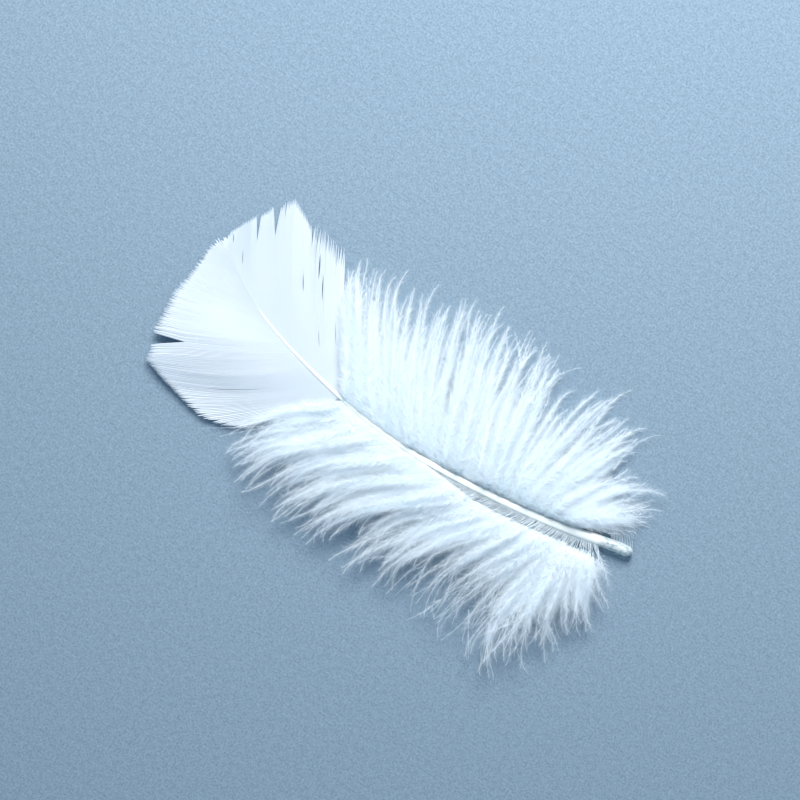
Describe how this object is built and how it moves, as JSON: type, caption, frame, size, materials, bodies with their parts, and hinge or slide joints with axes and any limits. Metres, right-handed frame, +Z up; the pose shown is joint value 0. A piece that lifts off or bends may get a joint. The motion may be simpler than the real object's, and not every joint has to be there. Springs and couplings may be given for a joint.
{
  "type": "turkey feather",
  "caption": "White turkey body feather lying flat: a short quill, soft down on both sides of the lower shaft and a closed, lightly split vane at the outer end.",
  "frame": {"origin": "under the middle of the feather's bounding box, on the surface that it lies on", "axes": "+X along the shaft towards the quill, +Y across the feather to the side of its longer down, +Z up from the surface"},
  "size_m": [0.1072, 0.0632, 0.0041],
  "materials": {
    "shaft_keratin": "smooth unpigmented keratin, opaque white in the solid shaft and cloudy and translucent in the quill",
    "vane_keratin": "closed web of fine parallel barbs, soft satin, slightly translucent",
    "down_keratin": "loose matt down of very fine barbs and barbules, translucent at its tips"
  },
  "bodies": {
    "root": {"shaft": "shaft_keratin", "vane_left": "vane_keratin", "vane_right": "vane_keratin", "down_left": "down_keratin", "down_right": "down_keratin"}
  },
  "joints": []
}
